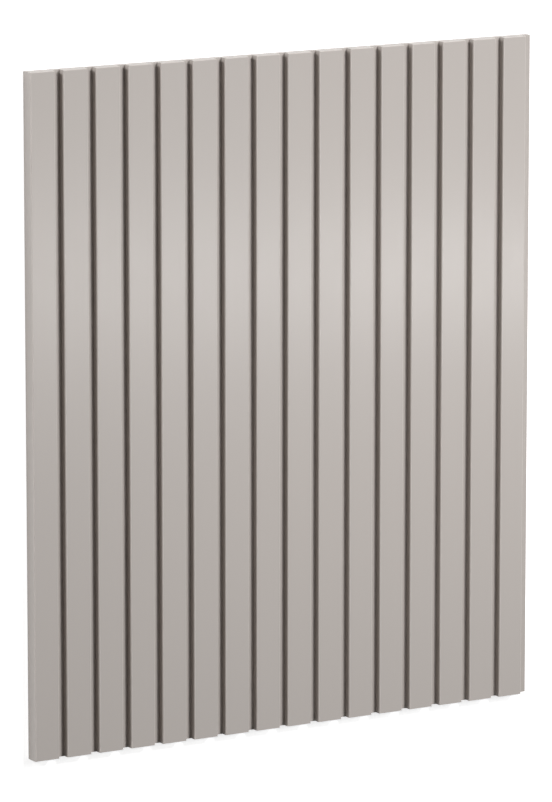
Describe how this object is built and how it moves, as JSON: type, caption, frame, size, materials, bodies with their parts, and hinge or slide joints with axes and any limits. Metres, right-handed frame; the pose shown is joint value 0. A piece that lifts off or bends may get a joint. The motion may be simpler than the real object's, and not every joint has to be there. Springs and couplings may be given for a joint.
{
  "type": "slat wall panel",
  "caption": "Flat wall lining panel with a row of even slats and flat-bottomed gaps milled into its face, flush at one edge and ending in a bare gap-wide strip at the other.",
  "frame": {"origin": "middle of the flat back face, on the floor that the panel lies on", "axes": "+X across the slats towards the bare gap-wide strip, +Y along the slats, +Z out of the slatted face"},
  "size_m": [0.6, 0.71, 0.016],
  "materials": {
    "painted_board": "satin warm grey paint, sprayed on all faces"
  },
  "bodies": {
    "root": {"slat_panel": "painted_board"}
  },
  "joints": []
}
